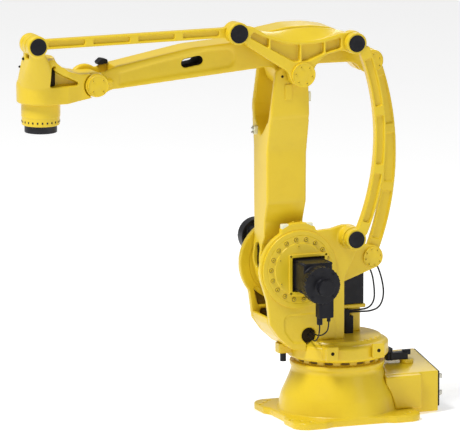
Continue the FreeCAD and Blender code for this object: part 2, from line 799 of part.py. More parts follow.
def level_rod():
    piece = Piece("level_rod")
    depth = "Sizes.rod_plate"
    eye = V.eye_radius
    half = V.rod_height / 2
    piece.pad("XZ", "Sizes.rod_outer", depth, ring(*ROD_REAR, eye))
    piece.pad("XZ", "Sizes.rod_outer", depth, ring(*ROD_FRONT, eye))
    x0, x1, z = ROD_REAR[0], ROD_FRONT[0], ROD_REAR[1]
    piece.pad("XZ", "Sizes.rod_outer", depth, outline(
        (x0, z - 56), (x0 + 70, z - half - 2, 80), (x1 - 70, z - half - 2, 80), (x1, z - 56),
        (x1, z + 56), (x1 - 70, z + half + 2, 80), (x0 + 70, z + half + 2, 80), (x0, z + 56),
    ))
    wells = []
    first, last, count, gap = x0 + 106, x1 - 92, 4, 55
    span = (last - first + gap) / count
    for i in range(count):
        begin = first + i * span
        wells.append(box(begin, z - half + 11, begin + span - gap, z + half - 11, 8))
    piece.pocket("XZ", "Sizes.rod_outer", f"{depth} / 3", *wells)
    piece.pocket("XZ", "Sizes.rod_outer + 1", f"{depth} + 2",
                 ring(*ROD_REAR, V.pin_radius + V.pin_play), ring(*ROD_FRONT, V.pin_radius + V.open_play))
    return piece


def crank():
    piece = Piece("crank")
    piece.pad("XZ", "Sizes.crank_outer", "Sizes.crank_plate", taper(SHOULDER, 215, CRANK_END, 72))
    piece.pocket("XZ", "Sizes.crank_outer + 1", "Sizes.crank_plate + 2",
                 ring(*SHOULDER, 80 + V.pin_play), ring(*CRANK_END, V.pin_radius + V.pin_play))
    return piece


# ---------------------------------------------------------------- upper arm
def upper_arm():
    piece = Piece("upper_arm")
    ex, ez = ELBOW
    wx, wz = WRIST
    kx, kz = TAIL_END
    nose, ahead = V.wrist_cap + 7, V.upper_length
    tail_x, tail_z = V.crank_dx, V.crank_dz
    side = outline(*about(
        ELBOW, (-100, -98, 92), (100, -98, 92), (140, 38, 40), (214, 37, 100), (ahead - 96, -38, 80),
        (ahead - 40, -nose, 30), (ahead + nose, -nose, nose - 4), (ahead + nose, nose, nose - 4),
        (ahead - 60, nose + 4, 30), (ahead - 109, 98, 20), (900, 152, 300), (684, 190, 300), (430, 206, 60),
        (182, 262, 200), (30, 285, 300), (-119, 282, 300), (-240, 262, 200), (-356, 205, 100),
        (tail_x + 30, tail_z + 74, 60), (tail_x - 74, tail_z + 74, 68), (tail_x - 74, tail_z - 72, 68),
        (tail_x + 60, tail_z - 64, 50), (-390, 35, 60), (-135, 40, 40),
    ))
    piece.pad("XZ", "Sizes.beam_half", "2 * Sizes.beam_half", side)
    piece.pad("XZ", "Sizes.elbow_hub_half", "2 * Sizes.elbow_hub_half", ring(*ELBOW, 96))
    piece.pad("XZ", "125", "30", ring(*WRIST, nose))
    piece.pad("XZ", "-85", "40", ring(*WRIST, FAR_CHEEK))
    # the lug with its pin beside the near pivot
    piece.pad("XZ", "125", "30", slot(*about(WRIST, (-70, 11), (-92, 11)), 16))
    # the front fork's gap
    piece.pocket("XZ", "85", "170", box(wx - 135, wz - 150, wx + 150, wz + 150, 20))
    # the tail's slot for the drive link
    piece.pocket("XZ", "Sizes.drive_outer + Sizes.side_play", "Sizes.drive_plate + 2 * Sizes.side_play",
                 box(kx - 120, kz - 150, kx + 165, kz + 170, 20))
    piece.pocket("XZ", "Sizes.fork_outer + 1", "2 * Sizes.fork_outer + 2",
                 ring(*ELBOW, V.elbow_pin + V.pin_play), ring(*TAIL_END, V.pin_radius + V.pin_play),
                 ring(*WRIST, V.wrist_pin + V.pin_play))
    # the long window through both sides
    piece.pocket("XZ", "Sizes.beam_half + 30", "2 * Sizes.beam_half + 60",
                 slot(*about(ELBOW, (636, 109), (723, 96)), 27))
    # recessed side panels
    panel = outline(*about(
        ELBOW, (400, 56, 50), (404, 172, 46), (560, 176, 100), (900, 118, 100), (ahead - 150, 66, 14),
        (ahead - 150, -16, 14), (823, 20, 100),
    ))
    for level in ("Sizes.beam_half + 1", "9 - Sizes.beam_half"):
        piece.pocket("XZ", level, "10", panel)
    return piece


def beam_fitting():
    """The black fitting on the upper arm's back beside the wrist."""
    piece = Piece("beam_fitting")
    piece.pad("XZ", "-38", "60", outline(*about(
        WRIST, (-133, 105), (-70, 97), (-64, 113, 8), (-92, 136, 12), (-129, 129, 8))))
    return piece


# ---------------------------------------------------------------- wrist
def wrist_housing():
    """A round body over the neck, a beak back to the pivot and a flared cheek up to the rod's pin."""
    piece = Piece("wrist_housing")
    wx, wz = WRIST
    ax, az = ROD_FRONT
    fx = FLANGE_X
    bottom, reach = V.wrist_bottom, V.wrist_reach
    half = 120
    ear = V.wrist_cap + 7
    eye = V.eye_radius
    shoulder = bottom + 118
    piece.turn(outline((0, bottom), (reach - 2, bottom, 8), (reach, shoulder, 60),
                       (reach - 72, az - 96, 20), (0, az - 96)), x=fx)
    # the beak, whose near side draws in towards the pivot
    piece.pad("XZ", f"{reach} - 2", f"{reach} - 2 + {half}", outline(
        (wx - ear, wz - ear, ear - 4), (wx + 16, wz - ear, 60), (wx + 90, wz - 87, 120),
        (wx + 200, bottom, 150), (fx, bottom), (fx, az - 100), (ax - 100, az - 80, 60),
        (ax - 215, az - 174, 200),
        (wx + 100, wz + 74, 150), (wx - ear, wz + ear, ear - 4)))
    piece.pocket("XY", f"{wz} - 400", "800", outline(
        (wx - 200, half), (wx + 100, half, 150), (fx - 120, reach), (fx - 120, reach + 60),
        (wx - 200, reach + 60)))
    # the neck of the near boss, which leans out from the round body
    piece.loft("XY",
               (f"{shoulder} - 20",
                box(fx - reach + 4, -reach + 4, fx + reach - 4, reach - 4, reach - 10)),
               (f"{az} - 44", box(ax - eye + 22, 60, ax + eye - 26, V.plate_outer, 20)))
    piece.pad("XZ", "Sizes.plate_outer", "Sizes.plate_outer - Sizes.rod_outer", ring(*ROD_FRONT, eye))
    # behind the far lug the housing stays low
    piece.pocket("XZ", "70", "300", outline(
        (wx + 200, az - 82), (ax + 120, az - 82), (ax + 120, az + 120), (wx + 200, az + 120)))
    piece.pad("XZ", "Sizes.rod_outer - Sizes.rod_plate - Sizes.side_play - 2", "42", ring(*ROD_FRONT, eye))
    # the slot that the level rod works in
    piece.pocket("XZ", "Sizes.rod_outer + Sizes.side_play", "Sizes.rod_plate + 2 * Sizes.side_play",
                 outline((fx - 230, az - 126), (ax - 70, az - 126, 60), (ax, az - 80, 50), (ax + 74, az - 80),
                         (ax + 74, az + 130), (fx - 230, az + 130)))
    # the round seats of the upper arm's two cheeks
    piece.pocket("XZ", f"{half + 1}", f"{half - 78}", ring(*WRIST, ear + V.side_play))
    piece.pocket("XZ", "-79", f"{half - 78}", ring(*WRIST, FAR_CHEEK + V.side_play))
    # the triangular recess
    piece.pocket("XZ", "Sizes.plate_outer + 1", "Sizes.plate_outer - 50", outline(*about(
        WRIST, (92, 12, 10), (316, 10, 10), (316, 134, 10), (290, 134, 10), (286, 114, 14), (244, 86, 30))))
    piece.pocket("XZ", "Sizes.plate_outer + 1", "2 * Sizes.plate_outer",
                 ring(*WRIST, V.wrist_pin + V.pin_play), ring(*ROD_FRONT, V.pin_radius + V.pin_play))
    return piece


def wrist_neck():
    piece = Piece("wrist_neck")
    low, high = V.neck_bottom, V.wrist_bottom
    r = V.neck_radius
    piece.turn(outline((0, low), (r - 12, low, 4), (r - 12, low + 52, 3), (r, low + 58, 3),
                       (r, high), (0, high)), x=FLANGE_X)
    return piece


def tool_flange():
    piece = Piece("tool_flange")
    low, high = V.flange_bottom, V.neck_bottom - 1
    r = V.flange_radius
    piece.turn(outline((0, low + 8), (50, low + 8), (50, low), (r, low, 4), (r, high), (0, high)),
               x=FLANGE_X)
    holes = []
    for i in range(6):
        turn = math.radians(60 * i)
        half = V.flange_pcd / 2
        holes.append(ring(FLANGE_X + half * math.cos(turn), half * math.sin(turn), V.flange_hole))
    piece.pocket("XY", "Sizes.flange_bottom - 1", "25", *holes)
    return piece


PIECES = [
    base_casting(),
    base_ring(),
    connector_box(),
    connector_panel(),
    panel_plugs(),
    stop_bracket(),
    bracket_boss(),
    turntable(),
    near_frame(),
    far_frame(),
    frame_web(),
    skirt_pads(),
    drive_disc("near_drive_disc", 1),
    drive_disc("far_drive_disc", -1),
    near_motor(),
    near_motor_plug(),
    far_motor(),
    shoulder_shaft(),
    column_motor(),
    motor_stand(),
    lead_post(),
    lead_clamp(),
    Lead("thick_lead", THICK_LEAD, V.thin_cable),
    Lead("thin_lead", THIN_LEAD, V.thin_cable),
    Lead("inner_lead", INNER_LEAD, V.cable),
    Lead("outer_lead", OUTER_LEAD, V.cable),
    stop_pin(),
    stop_pin_holder(),
    lower_arm(),
    elbow_shaft(),
    elbow_plate(),
    elbow_cap(),
    round_cap("rod_rear_cap", ROD_REAR, "Sizes.plate_outer", V.pin_cap_radius + 5),
    pin("rod_rear_pin", ROD_REAR, "Sizes.plate_outer", "Sizes.plate_outer - 118"),
    bowed_link("level_link", LEVEL_LOW, LEVEL_HIGH, "Sizes.level_outer", "Sizes.level_plate",
               V.level_bulge, V.level_width, V.eye_radius, (38, 50)),
    round_cap("level_low_cap", LEVEL_LOW, "Sizes.level_outer", V.pin_cap_radius),
    round_cap("level_high_cap", LEVEL_HIGH, "Sizes.level_outer", V.pin_cap_radius),
    pin("level_low_pin", LEVEL_LOW, "Sizes.level_outer - 1", "Sizes.level_outer - 130"),
    pin("level_high_pin", LEVEL_HIGH, "Sizes.level_outer - 1", "Sizes.level_outer - 176"),
    bowed_link("drive_link", CRANK_END, TAIL_END, "Sizes.drive_outer", "Sizes.drive_plate",
               V.drive_bulge, V.drive_width, 72, (18, 38)),
    level_rod(),
    crank(),
    round_cap("crank_pin_cap", CRANK_END, "Sizes.crank_outer + 1", 64, 13.0),
    pin("crank_pin", CRANK_END, "Sizes.crank_outer + 1", "Sizes.crank_outer - 27"),
    upper_arm(),
    beam_fitting(),
    round_cap("tail_cap", TAIL_END, "Sizes.beam_half", 60, 12.0),
    pin("tail_pin", TAIL_END, "Sizes.beam_half", "Sizes.beam_half + 10"),
    round_cap("wrist_pivot_cap", WRIST, "125", V.wrist_cap, 21.0),
    pin("wrist_pivot_pin", WRIST, "125", "250", "wrist_pin"),
    wrist_housing(),
    round_cap("rod_front_cap", ROD_FRONT, "Sizes.plate_outer", V.pin_cap_radius),
    pin("rod_front_pin", ROD_FRONT, "Sizes.plate_outer", "Sizes.plate_outer - 75"),
    wrist_neck(),
    tool_flange(),
]

doc.recompute()
for thing in doc.Objects:
    if any(word in thing.State for word in ("Invalid", "Error")):
        raise RuntimeError(f"{thing.Label}: {thing.State}")
for piece in PIECES:
    shape = piece.body.Shape
    if shape.isNull() or not shape.isValid() or not shape.Solids:
        raise RuntimeError(f"{piece.label}: no valid solid")

os.makedirs("parts", exist_ok=True)
for piece in PIECES:
    piece.body.Shape.exportStep(f"parts/{piece.label}.step")
    print(piece.label, len(piece.body.Shape.Solids), round(piece.body.Shape.Volume / 1e6, 3))
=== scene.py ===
import json
import math
import bmesh
import bpy
from mathutils import Matrix, Vector
from mathutils.bvhtree import BVHTree


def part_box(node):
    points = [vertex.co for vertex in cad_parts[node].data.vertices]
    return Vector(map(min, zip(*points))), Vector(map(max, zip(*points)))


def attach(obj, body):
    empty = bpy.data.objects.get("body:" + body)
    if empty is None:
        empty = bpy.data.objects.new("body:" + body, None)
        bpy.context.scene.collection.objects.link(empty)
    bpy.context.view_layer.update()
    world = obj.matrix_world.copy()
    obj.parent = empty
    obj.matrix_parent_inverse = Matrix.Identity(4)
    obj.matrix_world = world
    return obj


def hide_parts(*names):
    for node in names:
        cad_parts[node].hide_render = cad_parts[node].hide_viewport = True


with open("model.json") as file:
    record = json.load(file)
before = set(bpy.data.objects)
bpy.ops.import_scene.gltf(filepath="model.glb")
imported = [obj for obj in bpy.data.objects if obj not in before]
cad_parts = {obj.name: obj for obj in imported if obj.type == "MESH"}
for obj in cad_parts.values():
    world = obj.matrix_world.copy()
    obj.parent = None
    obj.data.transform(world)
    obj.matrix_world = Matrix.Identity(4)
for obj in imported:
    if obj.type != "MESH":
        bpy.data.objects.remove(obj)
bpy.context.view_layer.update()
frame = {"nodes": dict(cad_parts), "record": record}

BODY_OF = {node: body for body, nodes in frame["record"]["behaviour"]["bodies"].items() for node in nodes}
SLOT_OF = {row["node"]: row["material_slot"] for row in frame["record"]["subparts"]}


# ---------------------------------------------------------------- places
def box_of(node):
    """A node's lowest corner, highest corner and middle."""
    low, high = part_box(node)
    return low, high, (low + high) / 2


SHOULDER = box_of("shoulder_shaft")[2]
ELBOW = box_of("elbow_shaft")[2]
PIVOT = box_of("wrist_pivot_cap")[2]


# ---------------------------------------------------------------- camera
def add_camera():
    """A long lens, low on the near side of the tool's end."""
    turn, lift = math.radians(21.7), math.radians(10.7)
    distance, aside, above = 56.0, 0.6652, 1.1841
    back = Vector((math.sin(turn) * math.cos(lift), math.cos(turn) * math.cos(lift), math.sin(lift)))
    right = Vector((-math.cos(turn), math.sin(turn), 0))
    up = Vector((-math.sin(turn) * math.sin(lift), -math.cos(turn) * math.sin(lift), math.cos(lift)))
    camera = bpy.data.objects.new("camera", bpy.data.cameras.new("camera"))
    camera.data.sensor_width = 36
    camera.data.lens = 704.3
    camera.data.clip_end = 200
    camera.rotation_euler = Matrix((right, up, back)).transposed().to_euler()
    camera.location = back * distance - right * aside + up * above
    bpy.context.scene.collection.objects.link(camera)
    bpy.context.scene.camera = camera


# ---------------------------------------------------------------- materials
class Value:
    """One output of a shader node, with sums and products."""

    def __init__(self, look, socket):
        self.look = look
        self.socket = socket

    def __add__(self, other):
        return self.look.math("ADD", self, other)

    def __mul__(self, other):
        return self.look.math("MULTIPLY", self, other)

    def spread(self, low, high):
        """A smooth step from 0 to 1 as this goes from low to high."""
        values = {"Value": self, "From Min": low, "From Max": high, "To Min": 0.0, "To Max": 1.0}
        return self.look.node("ShaderNodeMapRange", values, interpolation_type="SMOOTHSTEP")


class Look:
    """A material in the making: one Principled surface and the nodes that feed it."""

    def __init__(self, name, **uniform):
        self.material = bpy.data.materials.new(name)
        self.material.use_nodes = True
        self.tree = self.material.node_tree
        self.surface = self.tree.nodes["Principled BSDF"]
        for socket, value in uniform.items():
            self.surface.inputs[socket.replace("_", " ")].default_value = value

    def node(self, kind, inputs=None, out=0, **settings):
        node = self.tree.nodes.new(kind)
        for key, value in settings.items():
            setattr(node, key, value)
        for key, value in (inputs or {}).items():
            if isinstance(value, Value):
                self.tree.links.new(value.socket, node.inputs[key])
            else:
                node.inputs[key].default_value = value
        return Value(self, node.outputs[out])

    def math(self, kind, first, second):
        return self.node("ShaderNodeMath", {0: first, 1: second}, operation=kind)

    def place(self, stretch=(1, 1, 1)):
        where = self.node("ShaderNodeTexCoord", out="Object")
        if stretch == (1, 1, 1):
            return where
        return self.node("ShaderNodeMapping", {"Vector": where, "Scale": stretch})

    def noise(self, scale, detail=3.0, roughness=0.5, stretch=(1, 1, 1)):
        values = {"Vector": self.place(stretch), "Scale": scale, "Detail": detail, "Roughness": roughness}
        return self.node("ShaderNodeTexNoise", values)

    def mix(self, factor, first, second):
        """A colour between two others."""
        return self.node("ShaderNodeMix", {0: factor, 6: first, 7: second}, out=2, data_type="RGBA")

    def bump(self, height, distance, strength=1.0, normal=None):
        values = {"Height": height, "Distance": distance, "Strength": strength}
        if normal:
            values["Normal"] = normal
        return self.node("ShaderNodeBump", values)

    def feed(self, **values):
        for socket, value in values.items():
            self.tree.links.new(value.socket, self.surface.inputs[socket.replace("_", " ")])
        return self.material


def paint_look(name, tone, deep, casting):
    """Satin enamel: a fine orange peel, over a rougher skin where the metal under it is cast."""
    look = Look(name, Coat_Weight=0.12, Coat_Roughness=0.12, Specular_IOR_Level=0.36)
    cloud = (tone[0] * 0.80, tone[1] * 0.72, tone[2] * 0.6, 1)
    dust = (tone[0] * 0.6, tone[1] * 0.5, tone[2] * 0.4, 1)
    broad = look.noise(1.7, 2.0).spread(0.35, 0.65)
    cloudy = look.noise(9.0, 4.0, 0.6).spread(0.42, 0.72)
    specks = look.noise(240.0, 2.0, 0.6).spread(0.68, 0.76)
    colour = look.mix(broad * 0.5, tone, deep)
    colour = look.mix(cloudy * 0.16, colour, cloud)
    colour = look.mix(specks * 0.22, colour, dust)
    rough = look.noise(26.0, 3.0) * 0.10 + 0.27
    skin_scale, skin_depth = (62.0, 0.0016) if casting else (30.0, 0.0005)
    skin = look.bump(look.noise(skin_scale, 4.0, 0.62), skin_depth, 0.55)
    peel = look.bump(look.noise(430.0, 2.0), 0.00022, 0.5, skin)
    return look.feed(Base_Color=colour, Roughness=rough, Normal=peel)


def grained_look(name, tone, light, rough, grain, depth, **uniform):
    """A plain tone with a fine grain: moulded plastic, sheath or black lacquer."""
    look = Look(name, **uniform)
    colour = look.mix(look.noise(14.0, 4.0, 0.6).spread(0.4, 0.75), tone, light)
    shade = look.noise(grain * 0.3, 3.0) * 0.16 + rough
    normal = look.bump(look.noise(grain, 3.0, 0.6), depth, 0.7)
    return look.feed(Base_Color=colour, Roughness=shade, Normal=normal)


def turned_look(name, tone, dark, rough, stretch):
    """Bare metal with fine marks, drawn out by stretch."""
    look = Look(name, Metallic=1.0)
    marks = look.noise(60.0, 3.0, 0.6, stretch)
    colour = look.mix(marks.spread(0.35, 0.7), tone, dark)
    return look.feed(Base_Color=colour, Roughness=marks * 0.16 + rough, Normal=look.bump(marks, 0.0001, 0.5))


YELLOW = (0.77, 0.555, 0.020, 1)
AMBER = (0.73, 0.505, 0.016, 1)
LOOKS = {
    "cast_paint": paint_look("cast_paint", YELLOW, AMBER, True),
    "paint": paint_look("smooth_paint", YELLOW, AMBER, False),
    "black_metal": grained_look(
        "black_lacquer", (0.010, 0.010, 0.013, 1), (0.018, 0.018, 0.022, 1),
        rough=0.28, grain=190.0, depth=0.0005, Specular_IOR_Level=0.16, Coat_Weight=0.05, Coat_Roughness=0.2),
    "black_plastic": grained_look(
        "black_moulding", (0.009, 0.009, 0.012, 1), (0.016, 0.016, 0.021, 1),
        rough=0.42, grain=620.0, depth=0.0002, Specular_IOR_Level=0.18),
    "cable": grained_look(
        "cable_sheath", (0.008, 0.008, 0.009, 1), (0.016, 0.016, 0.017, 1),
        rough=0.38, grain=700.0, depth=0.0001, Specular_IOR_Level=0.25),
    "flange": grained_look(
        "blackened_steel", (0.014, 0.014, 0.018, 1), (0.030, 0.030, 0.036, 1),
        rough=0.34, grain=320.0, depth=0.0002, Specular_IOR_Level=0.25),
    "steel": turned_look("ground_steel", (0.60, 0.60, 0.61, 1), (0.42, 0.42, 0.44, 1), 0.24, (1, 9, 1)),
    "zinc": turned_look("zinc_plate", (0.56, 0.54, 0.47, 1), (0.38, 0.37, 0.33, 1), 0.28, (3, 3, 3)),
    # painted shade: a dark brown put in sockets, holes, slots and recesses where shadow falls
    "cavity": grained_look(
        "dark_cavity", (0.020, 0.014, 0.006, 1), (0.035, 0.024, 0.010, 1),
        rough=0.75, grain=300.0, depth=0.0003, Specular_IOR_Level=0.12),
    "shade": paint_look("shaded_paint", (0.20, 0.13, 0.018, 1), (0.15, 0.10, 0.015, 1), True),
    "bush": grained_look(
        "pale_bush", (0.80, 0.80, 0.60, 1), (0.72, 0.72, 0.50, 1),
        rough=0.40, grain=300.0, depth=0.0002),
}


# ---------------------------------------------------------------- pieces
def place(piece, body, look, *stands_for):
    """Gives a piece its look and body, and hides the plain solids it stands in for."""
    piece.data.materials.clear()
    piece.data.materials.append(LOOKS[look])
    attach(piece, body)
    if stands_for:
        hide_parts(*stands_for)


def piece_from(name, bm):
    """A new piece from a mesh being edited, which it uses up."""
    bmesh.ops.remove_doubles(bm, verts=bm.verts, dist=0.000002)
    bmesh.ops.recalc_face_normals(bm, faces=bm.faces)
    mesh = bpy.data.meshes.new(name)
    bm.to_mesh(mesh)
    bm.free()
    mesh.shade_smooth()
    piece = bpy.data.objects.new(name, mesh)
    bpy.context.scene.collection.objects.link(piece)
    return piece


def modify(piece, kind, **settings):
    """Adds a modifier with its settings."""
    modifier = piece.modifiers.new(kind.lower(), kind)
    for key, value in settings.items():
        setattr(modifier, key, value)
    return modifier


def soften(piece, width, segments=3, angle=32):
    """Rounds the sharp edges of a piece and evens its shading."""
    modify(piece, "BEVEL", width=width, segments=segments, limit_method="ANGLE",
           angle_limit=math.radians(angle), use_clamp_overlap=True)
    modify(piece, "WEIGHTED_NORMAL", keep_sharp=True)
    return piece


def made_plain(piece):
    """Works a piece's modifiers into its mesh."""
    graph = bpy.context.evaluated_depsgraph_get()
    mesh = bpy.data.meshes.new_from_object(piece.evaluated_get(graph))
    piece.modifiers.clear()
    old = piece.data
    piece.data = mesh
    bpy.data.meshes.remove(old)
    mesh.name = piece.name


def casting(node, voxel, rounds, keep, look="cast_paint", webs=None):
    """A casting in place of its plain solid: its edges rounded and its inner corners filleted.

    voxel is how fine its mesh is made, rounds how often it is smoothed, keep the share of faces kept.
    """
    bm = bmesh.new()
    bm.from_mesh(frame["nodes"][node].data)
    bmesh.ops.remove_doubles(bm, verts=bm.verts, dist=0.00002)
    if webs:
        webs(bm)
    piece = piece_from(f"{node}_casting", bm)
    modify(piece, "REMESH", mode="VOXEL", voxel_size=voxel)
    modify(piece, "SMOOTH", factor=0.5, iterations=rounds)
    modify(piece, "DECIMATE", decimate_type="COLLAPSE", ratio=keep)
    made_plain(piece)
    piece.data.shade_smooth()
    modify(piece, "WEIGHTED_NORMAL", keep_sharp=False, weight=60)
    place(piece, BODY_OF[node], look, node)


def ring_of(bm, centre, axis, radius, along, count):
    """A ring of vertices about an axis; radius 0 gives one vertex."""
    side, up = SIDES[axis]
    origin = centre + AXES[axis] * along
    if radius < 1e-6:
        return [bm.verts.new(origin)]
    verts = []
    for i in range(count):
        turn = 2 * math.pi * i / count
        verts.append(bm.verts.new(origin + side * radius * math.cos(turn) + up * radius * math.sin(turn)))
    return verts


AXES = {"X": Vector((1, 0, 0)), "Y": Vector((0, 1, 0)), "Z": Vector((0, 0, 1))}
SIDES = {
    "X": (Vector((0, 1, 0)), Vector((0, 0, 1))),
    "Y": (Vector((0, 0, 1)), Vector((1, 0, 0))),
    "Z": (Vector((1, 0, 0)), Vector((0, 1, 0))),
}


def turn_into(bm, centre, axis, profile, count=72):
    """A turned solid; the profile's points are (radius, distance along the axis from the centre)."""
    rings = [ring_of(bm, centre, axis, radius, along, count) for radius, along in profile]
    for low, high in zip(rings, rings[1:]):
        for i in range(count):
            j = (i + 1) % count
            face = []
            for vert in (low[i % len(low)], low[j % len(low)], high[j % len(high)], high[i % len(high)]):
                if vert not in face:
                    face.append(vert)
            if len(face) > 2:
                bm.faces.new(face)
    return bm


def pin_into(bm, centre, axis, radius, start, end, count):
    """A plain pin along an axis, or a block with few sides."""
    return turn_into(bm, centre, axis, [(0, start), (radius, start), (radius, end), (0, end)], count)


def turned(name, centre, axis, profile, count=72, bevel=0.002):
    """A turned piece with its edges eased."""
    return soften(piece_from(name, turn_into(bmesh.new(), centre, axis, profile, count)), bevel, 2, 30)


def plate_into(bm, corners, axis, low, high):
    """A flat plate of any outline; its corners are places on one face and its sides run along the axis."""
    bottom, top = [], []
    for corner in corners:
        foot = Vector(corner)
        foot -= AXES[axis] * foot.dot(AXES[axis])
        bottom.append(bm.verts.new(foot + AXES[axis] * low))
        top.append(bm.verts.new(foot + AXES[axis] * high))
    bm.faces.new(bottom)
    bm.faces.new(top)
    for i, corner in enumerate(bottom):
        j = (i + 1) % len(bottom)
        bm.faces.new((corner, bottom[j], top[j], top[i]))
    return bm


def sleeve_into(bm, outer, inner, half):
    """A thin wall between two outlines in the XZ plane, from -half to half across."""
    loops = []
    for rim, y in ((outer, -half), (outer, half), (inner, half), (inner, -half)):
        loops.append([bm.verts.new((spot.x, y, spot.z)) for spot in rim])
    for k, loop in enumerate(loops):
        other = loops[(k + 1) % 4]
        for i in range(len(loop)):
            j = (i + 1) % len(loop)
            bm.faces.new((loop[i], loop[j], other[j], other[i]))
    return bm


def block(name, low, high, bevel):
    """A box between two corners, with rounded edges."""
    low, high = Vector(low), Vector(high)
    bm = bmesh.new()
    bmesh.ops.create_cube(bm, size=1.0)
    bmesh.ops.scale(bm, verts=bm.verts, vec=high - low)
    bmesh.ops.translate(bm, verts=bm.verts, vec=(low + high) / 2)
    return soften(piece_from(name, bm), bevel)


def round_corners(corners, steps=6):
    """An outline in the XZ plane as places; a corner's third number rounds it."""
    places = []
    count = len(corners)
    for i, (x, z, radius) in enumerate(corners):
        here = Vector((x, 0, z))
        if not radius:
            places.append(here)
            continue
        before = Vector((corners[i - 1][0], 0, corners[i - 1][1])) - here
        after = Vector((corners[(i + 1) % count][0], 0, corners[(i + 1) % count][1])) - here
        before.normalize()
        after.normalize()
        half = before.angle(after) / 2
        middle = here + (before + after).normalized() * (radius / math.sin(half))
        start = here + before * (radius / math.tan(half)) - middle
        end = here + after * (radius / math.tan(half)) - middle
        for step in range(steps + 1):
            places.append(middle + start.slerp(end, step / steps).normalized() * radius)
    return places


def rectangle(x, z, wide, tall, radius, steps=6):
    """A rectangle with round corners about a middle, by half its width and half its height."""
    return round_corners([(x - wide, z - tall, radius), (x + wide, z - tall, radius),
                          (x + wide, z + tall, radius), (x - wide, z + tall, radius)], steps)


def from_pivot(outline):
    """An outline given from the wrist's pivot, as places in the XZ plane."""
    return [(PIVOT.x + x, 0, PIVOT.z + z) for x, z in outline]


# ---------------------------------------------------------------- screws, set out by geometry nodes
def cap_screw(name, radius, height, look):
    """A socket screw's head with its socket, standing on the origin along Z."""
    bm = bmesh.new()
    sides = 18
    profile = [(radius, 0), (radius, height - radius * 0.16), (radius * 0.86, height),
               (radius * 0.52, height), (radius * 0.50, height * 0.45)]
    rings = [ring_of(bm, Vector(), "Z", r, z, sides) for r, z in profile]
    for low, high in zip(rings, rings[1:]):
        for i in range(sides):
            j = (i + 1) % sides
            bm.faces.new((low[i], low[j], high[j], high[i]))
    bm.faces.new(rings[-1])
    bm.faces.new(rings[0])
    screw = piece_from(name, bm)
    screw.data.materials.append(LOOKS[look])
    return screw


def screw_setter():
    """The node group that stands a screw on every point and faces it one way."""
    group = bpy.data.node_groups.new("set_screws", "GeometryNodeTree")
    for label, kind in (("Points", "NodeSocketGeometry"), ("Screw", "NodeSocketObject"),
                        ("Direction", "NodeSocketVector"), ("Material", "NodeSocketMaterial")):
        group.interface.new_socket(label, in_out="INPUT", socket_type=kind)
    group.interface.new_socket("Screws", in_out="OUTPUT", socket_type="NodeSocketGeometry")
    nodes, links = group.nodes, group.links
    source = nodes.new("NodeGroupInput")
    result = nodes.new("NodeGroupOutput")
    points = nodes.new("GeometryNodeMeshToPoints")
    screw = nodes.new("GeometryNodeObjectInfo")
    facing = nodes.new("FunctionNodeAlignRotationToVector")
    facing.axis = "Z"
    stand = nodes.new("GeometryNodeInstanceOnPoints")
    real = nodes.new("GeometryNodeRealizeInstances")
    finish = nodes.new("GeometryNodeSetMaterial")
    links.new(source.outputs["Points"], points.inputs["Mesh"])
    links.new(source.outputs["Screw"], screw.inputs["Object"])
    links.new(source.outputs["Direction"], facing.inputs["Vector"])
    links.new(points.outputs["Points"], stand.inputs["Points"])
    links.new(screw.outputs["Geometry"], stand.inputs["Instance"])
    links.new(facing.outputs["Rotation"], stand.inputs["Rotation"])
    links.new(stand.outputs["Instances"], real.inputs["Geometry"])
    links.new(real.outputs["Geometry"], finish.inputs["Geometry"])
    links.new(source.outputs["Material"], finish.inputs["Material"])
    links.new(finish.outputs["Geometry"], result.inputs["Screws"])
    return group


SETTER = screw_setter()


def screws(name, body, spots, direction, radius, height, look="zinc"):
    """Screws of one size standing on a list of places and facing one way."""
    pattern = cap_screw(f"{name}_pattern", radius, height, look)
    mesh = bpy.data.meshes.new(name)
    mesh.from_pydata([tuple(spot) for spot in spots], [], [])
    piece = bpy.data.objects.new(name, mesh)
    bpy.context.scene.collection.objects.link(piece)
    modifier = modify(piece, "NODES", node_group=SETTER)
    values = {"Screw": pattern, "Direction": Vector(direction), "Material": LOOKS[look]}
    for item in SETTER.interface.items_tree:
        if item.name in values:
            modifier[item.identifier] = values[item.name]
    bpy.context.view_layer.update()
    made_plain(piece)
    bpy.data.objects.remove(pattern)
    place(piece, body, look)


def circle(centre, axis, radius, count, start=0.0, sweep=360.0):
    """Places evenly round a circle; a part sweep ends on its last place."""
    side, up = SIDES[axis]
    gap = sweep / count if sweep == 360.0 else sweep / (count - 1)
    places = []
    for i in range(count):
        turn = math.radians(start + i * gap)
        places.append(centre + side * radius * math.cos(turn) + up * radius * math.sin(turn))
    return places


def on_surface(node, start, way):
    """Where a straight line from start first meets a node."""
    mesh = frame["nodes"][node].data
    corners = [vert.co for vert in mesh.vertices]
    tree = BVHTree.FromPolygons(corners, [face.vertices for face in mesh.polygons])
    spot = tree.ray_cast(Vector(start), Vector(way))[0]
    if spot is None:
        raise ValueError(f"no surface of {node} from {start}")
    return spot


def socket_screws(name, body, spots, direction, radius, height):
    """Painted screws, with painted shade in their sockets."""
    screws(name, body, spots, direction, radius, height, "paint")
    # painted shade: a dark plug down each socket
    screws(f"{name}_sockets", body, spots, direction, radius * 0.5, height * 0.72, "cavity")


def at(point, **changes):
    """A place like another with some coordinates changed."""
    place_at = Vector(point)
    for letter, value in changes.items():
        place_at["xyz".index(letter)] = value
    return place_at


